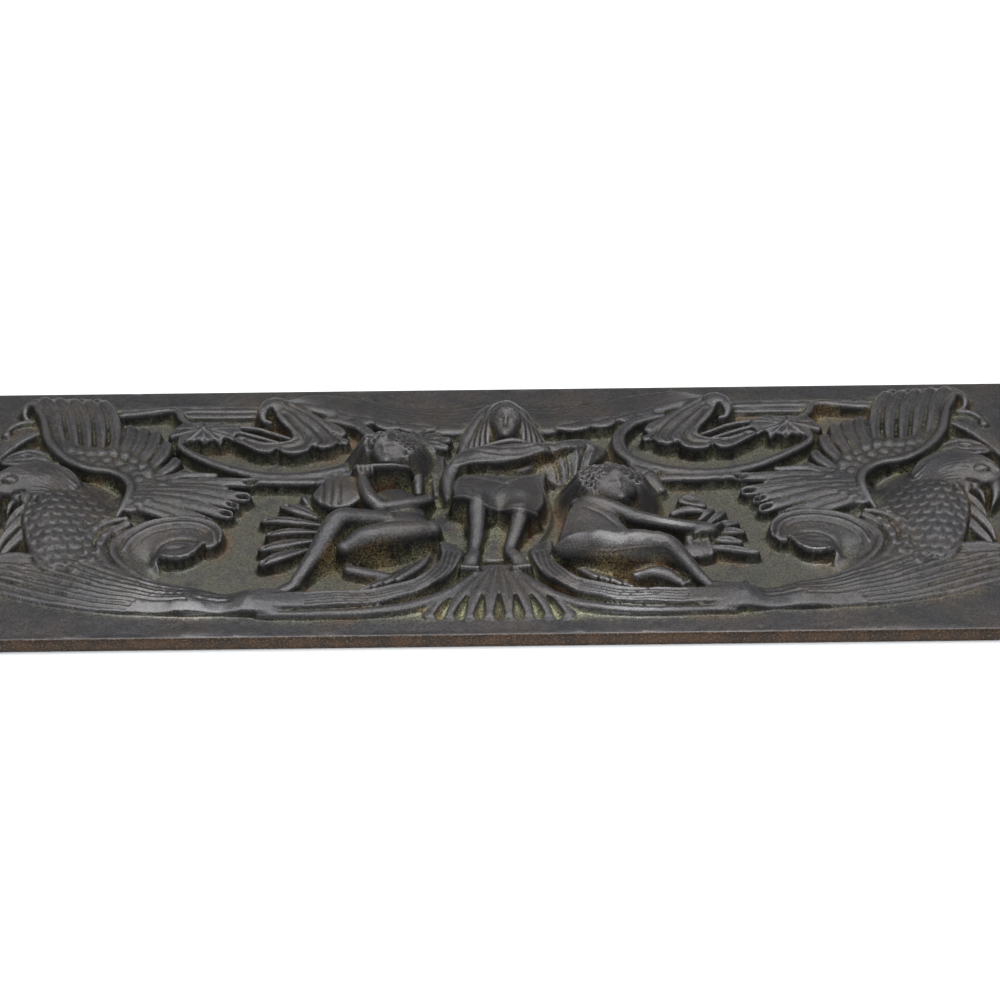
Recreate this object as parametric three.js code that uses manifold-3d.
// A cast bronze relief plaque: a sunk panel between plain margins, with a seated robed figure
// between two seated children, rinceaux of acanthus, and a griffin at each end.
// Millimetres. The plaque lies on its flat back: +X along its length, +Y towards its upper edge
// as it hangs, +Z out of the face. The origin is the middle of the back.
import * as THREE from "three";
import { mergeVertices } from "three/addons/utils/BufferGeometryUtils.js";
import Module from "manifold-3d";

const wasm = await Module();
wasm.setup();

// ---- driving dimensions ----
const LENGTH = 560;
const WIDTH = 200;
const MARGIN_Z = 6; // thickness at the rim, which is also the level of the margins
const GROUND_Z = 3; // level of the sunk ground behind the figures
const ARRIS = 0.8; // rounding of the rim
const BLUNT = 0.05; // how far from its end a ridge has its full width, as a part of its length
const LIMB = { facets: 3, drop: 0.3 }; // section of an arm or a leg
const SLIVER = 0.2; // the thinnest facet that is kept
const ROOT_Z = 1.5; // how deep the relief is rooted in the plate

// ---- tools ----
const vec = ([x, y, z]) => new THREE.Vector3(x, y, z);

// A closed three.js geometry as a solid, with its faces turned to point outwards.
function solid(geometry) {
  geometry.deleteAttribute("normal");
  geometry.deleteAttribute("uv");
  const merged = mergeVertices(geometry, 1e-3);
  const corners = (order) => new wasm.Mesh({
    numProp: 3,
    vertProperties: merged.attributes.position.array,
    triVerts: new Uint32Array(order),
  });
  const made = new wasm.Manifold(corners(merged.index.array));
  return made.volume() > 0 ? made : new wasm.Manifold(corners(Array.from(merged.index.array).reverse()));
}

const union = (geometries) => geometries.map(solid).reduce((whole, next) => whole.add(next));

// A value along a run: a number stays, a list is read off evenly with straight steps between.
function along(value, t) {
  if (typeof value === "number") return value;
  const at = t * (value.length - 1);
  const i = Math.min(Math.floor(at), value.length - 2);
  return THREE.MathUtils.lerp(value[i], value[i + 1], at - i);
}

// A ridge of metal along a smooth line, with its own half-width and height at each place: a cylinder
// drawn out along it, whose top is rounded with a few facets and whose sides drop below the ground.
// Its shoulders lie below its line by the given part of its height, and its ends are blunt.
function roll(points, width, height, { facets = 2, rows = points.length + 1, drop = 0 } = {}) {
  const line = new THREE.CatmullRomCurve3(points.map(vec), false, "centripetal");
  const sides = facets + 3;
  const geometry = new THREE.CylinderGeometry(1, 1, 1, sides, rows);
  const place = geometry.attributes.position;
  const drawn = new THREE.Vector3();
  for (let i = 0; i < place.count; i++) {
    drawn.fromBufferAttribute(place, i);
    const row = Math.round((0.5 - drawn.y) * rows);
    const end = row === 0 || row === rows;
    const t = end ? row / rows : BLUNT + ((1 - 2 * BLUNT) * (row - 1)) / (rows - 2);
    const out = Math.hypot(drawn.x, drawn.z) < 0.5 ? 0 : 1;
    const column = (Math.round((Math.atan2(drawn.x, drawn.z) / (2 * Math.PI)) * sides) + sides) % sides;
    const full = end ? 0.6 : 1;
    const slope = Math.asin(drop);
    const angle = (Math.PI * Math.min(column, facets)) / facets;
    const turn = -slope + ((Math.PI + 2 * slope) * Math.min(column, facets)) / facets;
    const tangent = line.getTangentAt(t);
    const side = new THREE.Vector3(tangent.y, -tangent.x, 0).normalize();
    const p = line.getPointAt(t);
    const top = p.z + Math.sin(turn) * along(height, t) * full;
    const across = column > facets ? (column === facets + 1 ? -1 : 1) : Math.cos(turn) / (angle % Math.PI ? 1 : Math.cos(slope));
    p.addScaledVector(side, across * along(width, t) * full * out);
    place.setXYZ(i, p.x, p.y, column > facets && out ? ROOT_Z : top);
  }
  return geometry;
}

// A fan or sheaf of ridges: a box drawn between cross-lines, given from root to tip, with a row of
// ridges and grooves across it. Its tips are notched at the grooves, and its sides drop below the ground.
function fan(lines, ridges, { rows = 3, ridge = 2, notch = 0.12 } = {}) {
  const curves = lines.map((line) => new THREE.CatmullRomCurve3(line.map(vec), false, "centripetal"));
  const geometry = new THREE.BoxGeometry(1, 1, 1, 2 * ridges, rows, 1);
  const place = geometry.attributes.position;
  const p = new THREE.Vector3();
  for (let i = 0; i < place.count; i++) {
    p.fromBufferAttribute(place, i);
    const [across, on, top] = [p.x + 0.5, p.y + 0.5, p.z > 0];
    const crest = Math.round(across * 2 * ridges) % 2;
    const run = new THREE.CatmullRomCurve3(curves.map((curve) => curve.getPoint(across)), false, "centripetal");
    const at = run.getPoint(on * (crest ? 1 : 1 - notch * on));
    place.setXYZ(i, at.x, at.y, top ? at.z - (crest ? 0 : ridge) : ROOT_Z);
  }
  return geometry;
}

// A leaf with scalloped edges along a curved rib: a box drawn along it, hollow along the rib and full
// at either side of it.
function leaf(points, width, height, { lobes = 5, depth = 0.35 } = {}) {
  const rib = new THREE.CatmullRomCurve3(points.map(vec), false, "centripetal");
  const geometry = new THREE.BoxGeometry(1, 1, 1, 4, 2 * lobes, 1);
  const place = geometry.attributes.position;
  const p = new THREE.Vector3();
  for (let i = 0; i < place.count; i++) {
    p.fromBufferAttribute(place, i);
    const [across, on, top] = [2 * p.x, p.y + 0.5, p.z > 0];
    const bay = Math.round(on * 2 * lobes) % 2 ? 0 : depth;
    const tangent = rib.getTangentAt(on);
    const side = new THREE.Vector3(tangent.y, -tangent.x, 0).normalize();
    const at = rib.getPointAt(on);
    at.addScaledVector(side, across * along(width, on) * (1 - bay * Math.abs(across)));
    const bulge = [0.7, 1, 0][Math.round(2 * Math.abs(across))] - bay * Math.abs(across);
    place.setXYZ(i, at.x, at.y, top ? at.z + bulge * along(height, on) : ROOT_Z);
  }
  return geometry;
}

// An egg: centre, three half-axes, and a turn about Z in degrees.
function egg(centre, [a, b, c], turn = 0, sides = 10, rows = 7) {
  const geometry = new THREE.SphereGeometry(1, sides, rows);
  geometry.rotateX(Math.PI / 2);
  geometry.scale(a, b, c);
  geometry.rotateZ(THREE.MathUtils.degToRad(turn));
  geometry.translate(...centre);
  return geometry;
}

const mirrored = (geometry) => geometry.clone().scale(-1, 1, 1);

// ---- the plate ----
function plate() {
  const outline = new THREE.Shape();
  const [x, y] = [LENGTH / 2 - ARRIS, WIDTH / 2 - ARRIS];
  outline.moveTo(-x, -y).lineTo(x, -y).lineTo(x, y).lineTo(-x, y);
  const slab = new THREE.ExtrudeGeometry(outline, {
    depth: MARGIN_Z - 2 * ARRIS,
    bevelThickness: ARRIS,
    bevelSize: ARRIS,
    bevelSegments: 1,
  });
  slab.translate(0, 0, ARRIS);
  return solid(slab).subtract(field());
}

// The sunk field: it follows the underside of the canopy, the arcs at the ends and the low scrolls.
function field() {
  const right = [
    [0, 62], [55, 63], [76, 69], [190, 69], [222, 60], [246, 28], [254, -10], [244, -56], [180, -72], [60, -76], [0, -80],
  ].map(([x, y]) => new THREE.Vector2(x, y));
  const left = right.slice(1, -1).reverse().map((p) => new THREE.Vector2(-p.x, p.y));
  const pocket = new THREE.ExtrudeGeometry(new THREE.Shape([...right, ...left]), {
    depth: MARGIN_Z,
    bevelEnabled: false,
  });
  pocket.translate(0, 0, GROUND_Z);
  return solid(pocket);
}

// ---- ornament of the right half; the left half is its mirror image ----

// Canopy: long half-leaf from the robed figure's head out to a knob, with lobes hanging below it.
function canopy() {
  const low = [[6, 67, 6.4], [24, 64, 6.4], [45, 65, 6.4], [66, 73, 6.4], [88, 79, 6.4], [106, 80, 6.4]];
  const high = low.map(([x, y, z]) => [x, y + 6, z - 2]);
  return [
    roll(low, [3, 4, 4, 4, 4, 3], 4),
    roll(high, [3, 4, 4, 4, 4, 3], 4),
    leaf([[30, 68, 6], [45, 63, 6.5], [62, 68, 6.5], [76, 74, 6]], [4, 8, 8, 5], 4, { lobes: 3, depth: 0.4 }),
    roll([[114, 75, 4.5], [150, 77, 4.5], [192, 74, 4.5]], 5.5, 4),
    roll([[150, 58, 7], [158, 69, 7], [172, 75, 7], [192, 72, 7]], 3, 4, { rows: 6 }),
    roll([[105, 81, 7], [112, 78, 10], [116, 68, 9], [116, 62, 6]], [5, 6.5, 6, 4], [5, 6, 6, 4], { facets: 3, rows: 6 }),
  ];
}

// Ring: the scroll's stem, round an acanthus leaf, with a flower at its end.
function ring() {
  const stem = [
    [74, 64, 7], [64, 54, 7], [61, 41, 7], [68, 28, 7], [84, 21, 7], [106, 18, 7],
    [129, 21, 7], [146, 29, 7], [152, 41, 7], [149, 52, 7],
  ];
  return [
    roll(stem, [3, 4, 4, 4, 4, 4, 4, 3.5, 3, 2.5], 4.5, { rows: 13 }),
    roll([[66, 30, 7], [74, 17, 7], [82, 5, 7]], [4, 5, 4.5], 4.5),
    roll([[80, 11, 6], [100, 11, 6], [126, 13, 6]], 4, 4),
    leaf([[112, 76, 9], [96, 68, 10], [86, 55, 10], [88, 42, 9], [103, 37, 8], [124, 40, 7]],
      [7, 12, 15, 16, 13, 6], [4, 5, 5, 5, 4, 3], { lobes: 6, depth: 0.3 }),
    rosette([141, 49, 6], 16, 6, 5),
  ];
}

// A flat flower with round petals about a raised middle.
function rosette([x, y, z], reach, height, petals) {
  const geometry = new THREE.SphereGeometry(1, 4 * petals, 5);
  geometry.rotateX(Math.PI / 2);
  const place = geometry.attributes.position;
  const p = new THREE.Vector3();
  for (let i = 0; i < place.count; i++) {
    p.fromBufferAttribute(place, i);
    const petal = 0.82 + 0.18 * Math.cos(petals * Math.atan2(p.y, p.x));
    place.setXYZ(i, x + reach * petal * p.x, y + reach * petal * p.y, z + height * p.z);
  }
  return geometry;
}

// Griffin: a raised wing and a lower wing, a scaled breast, and an eagle's head that looks out to the end.
function griffin() {
  const shoulder = [
    [182, -16, 7], [174, -4, 8], [171, 9, 8], [180, 18, 8], [196, 26, 8], [207, 39, 8],
    [212, 54, 8], [216, 67, 8], [225, 78, 9], [231, 76, 7],
  ];
  return [
    fan([
      [[204, 40, 11], [188, 33, 11], [174, 14, 11]],
      [[212, 58, 12], [198, 58, 12], [183, 48, 12], [168, 34, 11], [160, 20, 10]],
      [[224, 79, 11], [205, 80, 11], [190, 76, 10], [176, 65, 9], [160, 54, 9], [148, 36, 8], [146, 24, 7]],
    ], 11, { ridge: 2.6, notch: 0.1 }),
    fan([
      [[178, 10, 10], [176, -14, 9]],
      [[146, 14, 11], [143, 0, 12], [146, -18, 10]],
      [[120, 16, 8], [110, -2, 9], [114, -15, 9], [124, -24, 8], [138, -28, 7]],
    ], 6, { ridge: 3, notch: 0.12 }),
    roll(shoulder, [4, 6, 5, 4, 4, 4, 4, 4, 4, 3], 5.5, { rows: 13 }),
    egg([200, -18, 5], [19, 32, 11], -12, 10, 6),
    roll([[212, -2, 7], [222, -22, 7], [226, -42, 5]], [3, 5, 4], 4.5),
    egg([213, 14, 8], [18, 12, 11], -8, 8, 6),
    roll([[222, 14, 11], [231, 9, 10], [234, -1, 7], [230, -11, 5]], [6, 5.5, 4, 1.5], [5, 5, 4, 2], { facets: 3 }),
    fan([
      [[206, 20, 15], [216, 6, 14]],
      [[192, 16, 12], [206, -3, 13]],
      [[186, 12, 8], [202, -8, 9]],
    ], 4, { ridge: 2 }),
    roll([[197, 33, 5], [211, 38, 7], [227, 34, 7], [240, 25, 5]], [2, 4, 3.6, 1.5], 4.5),
    roll([[216, 60, 5.5], [227, 51, 6], [238, 42, 6], [247, 29, 6], [253, 12, 6], [257, -6, 6], [257, -24, 5]],
      [3, 5, 5, 5, 5, 4, 3], 4.5),
    roll([[219, 62, 5.5], [226, 69, 6.5], [236, 69, 6.5], [243, 63, 6.5], [243, 56, 5]], [2, 3, 3, 3, 2], 4),
  ];
}

// Rolled leaf at the griffin's foot, with the flutes that sweep along the bottom and up at the end.
function sweep() {
  return [
    fan([
      [[96, -74, 12], [96, -86, 10]],
      [[140, -69, 12.5], [140, -88, 10]],
      [[178, -60, 13], [178, -89, 10]],
      [[206, -47, 13], [208, -88, 10]],
      [[232, -38, 12], [236, -86, 9]],
      [[252, -22, 9], [262, -76, 7]],
    ], 5, { rows: 6, ridge: 1.6, notch: 0.05 }),
    roll([[192, -26, 7], [190, -40, 7], [178, -56, 7], [156, -68, 7], [128, -74, 6]], [4.5, 4.5, 4, 3, 2], 4.5),
    roll([[204, -41, 7], [196, -52, 7], [180, -63, 7], [156, -71, 7]], [4.5, 4.5, 4, 3], 4.5),
    roll([[168, -66, 5], [184, -48, 6], [181, -30, 7], [167, -20, 7], [149, -18, 7], [135, -23, 7], [128, -34, 7], [131, -46, 6]],
      [2, 5, 6, 6, 6, 5, 5, 4], 5, { rows: 11 }),
    roll([[160, -62, 4], [170, -48, 4], [166, -34, 4.5], [152, -27, 5], [139, -31, 5]], [2, 3, 3, 3, 3], 4),
    egg([146, -46, 7], [10, 8, 8], 0, 8, 6),
  ];
}

// Low scroll from under the figure's feet, out along the bottom.
function scroll() {
  return [
    roll([[8, -52, 6], [20, -62, 7], [34, -71, 7.5], [54, -78, 8], [84, -81, 8], [124, -81, 7]],
      [3, 6, 8, 8.5, 8, 6], [4, 5, 5.5, 5.5, 5.5, 4.5], { facets: 4, rows: 8 }),
    roll([[38, -34, 6], [29, -42, 7], [30, -56, 7], [42, -66, 7.5], [62, -72, 8], [96, -74, 8]], [2, 4, 5, 4, 3, 2], 5),
    fan([
      [[34, -40, 4.5], [46, -52, 4.5]],
      [[38, -56, 5.5], [56, -62, 5.5]],
      [[48, -66, 7], [72, -70, 7]],
    ], 3, { rows: 2, ridge: 1.5 }),
  ];
}

// ---- palmette at the foot of the middle ----
function palmette() {
  return [
    fan([
      [[-5, -56, 9], [1, -56, 10], [7, -56, 9]],
      [[-14, -74, 9], [1, -74, 10], [16, -74, 9]],
      [[-28, -88, 7], [1, -93, 8], [30, -88, 7]],
    ], 7, { rows: 2, ridge: 2, notch: 0.3 }),
  ];
}

// ---- the robed figure in the middle ----
function robedFigure() {
  const shin = (knee, ankle, toe) => [
    roll([knee, [(knee[0] + ankle[0]) / 2, (knee[1] + ankle[1]) / 2, 13], ankle], [7, 6.4, 4.6], [7, 6, 5], LIMB),
    roll([ankle, toe], [4.4, 5.2], [4, 3], { facets: 3 }),
  ];
  return [
    egg([6, 60, 12], [12, 14, 12], 0, 10, 7), // head
    roll([[2, 70, 10], [-9, 58, 8], [-13, 42, 7], [-16, 30, 7]], [6, 6, 6, 4], [8, 8, 6, 5]), // veil, left
    roll([[10, 70, 10], [17, 58, 8], [20, 46, 7], [19, 38, 6]], [5, 5, 4, 3], [8, 8, 6, 5]), // veil, right
    egg([0, 22, 9], [20, 22, 11], 0, 10, 6), // trunk
    egg([1, 0, 10], [23, 18, 13], 0, 10, 6), // lap
    fan([
      [[-22, 6, 14], [0, 2, 16], [24, 6, 14]],
      [[-24, -22, 10], [0, -24, 9], [24, -22, 10]],
      [[-24, -42, 6], [0, -46, 6], [22, -44, 6]],
    ], 6, { rows: 3, ridge: 2.4, notch: 0.05 }), // skirt
    roll([[-14, 30, 14], [0, 33, 15], [16, 34, 14], [32, 35, 12], [46, 34, 10]], 5.4, [6, 6, 6, 5.5, 5], LIMB), // arm
    fan([
      [[20, 38, 14], [34, 38, 14], [52, 38, 13]],
      [[20, 20, 10], [34, 16, 10], [50, 22, 9]],
      [[22, 0, 7], [32, 2, 7], [42, 12, 6]],
    ], 4, { rows: 3, ridge: 3 }), // cloth that hangs from the arm
    roll([[-17, 24, 17], [0, 16, 18.5], [20, 26, 16]], 2.6, 3.4), // fold across the breast
    roll([[-20, 10, 16], [0, 6, 20], [21, 11, 16]], 3, 3.6), // fold over the lap
    ...shin([-12, -13, 16], [-12.5, -45, 8], [-13, -52, 7]),
    ...shin([10, -19, 15], [9, -44, 8], [12, -53, 7]),
  ];
}

// ---- the child on the left, with hands raised, one knee up ----
function leftChild() {
  const limb = (points, width, height = width) => roll(points, width, height, LIMB);
  return [
    egg([-53, 30, 13], [13, 13, 13], 0, 10, 7), // head
    roll([[-42, 36, 10], [-38, 24, 8], [-37, 10, 7]], [5, 5, 3], [8, 7, 5]), // hair
    egg([-50, -2, 10], [16, 18, 11], 20, 8, 6), // trunk
    limb([[-66, 16, 15], [-63, 4, 16], [-58, -8, 15]], [4.6, 5.4, 5.4]), // raised forearm
    limb([[-58, -9, 15], [-48, -5, 15], [-38, -2, 13], [-32, 0, 10]], [5.4, 5, 4.4, 3.4]),
    roll([[-66, 17, 16], [-56, 15, 19], [-46, 17, 18]], [3.4, 3, 2.4], [5, 4, 3]), // hands and pipe
    egg([-79, -2, 7], [12, 13, 11], -15, 8, 6), // drum
    limb([[-57, -22, 12], [-68, -24, 15], [-77, -29, 17], [-84, -46, 13], [-91, -62, 8]], [7, 7.5, 7.4, 6, 4]),
    roll([[-91, -62, 7], [-97, -69, 6]], [4, 4.2], [4.5, 3.2], { facets: 3 }), // foot
    limb([[-36, -27, 11], [-48, -29, 13], [-60, -34, 12], [-66, -40, 9]], [6, 8.5, 9, 7]),
    limb([[-66, -46, 6], [-54, -52, 5], [-44, -56, 4.5]], [6, 5, 4]),
    fan([
      [[-86, 0, 9], [-88, -50, 8]],
      [[-98, 4, 11], [-100, -24, 11], [-98, -54, 9]],
      [[-104, 8, 8], [-115, -14, 8], [-115, -40, 8], [-106, -60, 6]],
    ], 5, { ridge: 3 }), // fan of leaves
    leaf([[-42, 50, 7], [-32, 42, 8], [-28, 26, 7], [-27, 0, 6]], [6, 9, 6, 5], 4, { lobes: 5 }), // foliage behind the shoulder
  ];
}

// ---- the child on the right, turned to a bunch of leaves ----
function rightChild() {
  const limb = (points, width, height = width) => roll(points, width, height, LIMB);
  return [
    egg([56, 5, 13], [15, 14, 13], 10, 10, 7), // head and hair
    roll([[66, 14, 8], [71, 2, 8], [69, -10, 6]], [5, 5, 3], [7, 6, 5]),
    egg([40, -26, 10], [13, 22, 12], -18, 8, 6), // trunk
    limb([[43, -10, 15], [53, -16, 16], [66, -21, 15], [80, -23, 12], [91, -22, 9]], [6.6, 6.4, 5.4, 4.6, 3.6]),
    limb([[34, -46, 10], [48, -44, 13], [62, -42, 16], [76, -41, 17], [84, -50, 13], [92, -62, 8]],
      [9, 9.5, 8.6, 7.2, 6, 4.4]),
    roll([[92, -63, 7], [105, -66, 5.5]], [4.6, 4], [4.5, 3], { facets: 3 }), // foot
    limb([[66, -50, 7], [74, -58, 8], [82, -66, 7], [87, -69, 6]], [5, 5.6, 4.6, 3.6]),
    leaf([[86, -52, 7], [90, -34, 8], [92, -14, 8], [88, 4, 6]], [9, 14, 13, 5], 4.5, { lobes: 5, depth: 0.45 }), // spray
    roll([[98, -46, 6], [108, -48, 6], [116, -46, 5]], [3.6, 4, 2], 4),
  ];
}

const half = [...canopy(), ...ring(), ...griffin(), ...sweep(), ...scroll()];
const relief = union([...half, ...palmette(), ...robedFigure(), ...leftChild(), ...rightChild(), ...half.map(mirrored)]);

// Everything under the ground level is part of the plate, so the relief is kept above the back.
const keep = new THREE.BoxGeometry(LENGTH - 4, WIDTH - 4, 60);
keep.translate(0, 0, 30 + GROUND_Z / 2);
// Slivers left where ridges cross are dropped.
const cast = plate().add(relief.intersect(solid(keep))).asOriginal().simplify(SLIVER);

const cut = cast.getMesh();
const geometry = new THREE.BufferGeometry();
const corners = new Float32Array(cut.numVert * 3);
for (let i = 0; i < cut.numVert; i++) corners.set(cut.vertProperties.subarray(i * cut.numProp, i * cut.numProp + 3), i * 3);
geometry.setAttribute("position", new THREE.BufferAttribute(corners, 3));
geometry.setIndex(new THREE.BufferAttribute(cut.triVerts, 1));
geometry.computeVertexNormals();

const bronze = new THREE.MeshStandardMaterial({ color: 0x35312c, roughness: 0.5, metalness: 0.85 });
const plaque = new THREE.Mesh(geometry, bronze);
plaque.name = "relief_plaque";

const group = new THREE.Group();
group.add(plaque);
export default group;
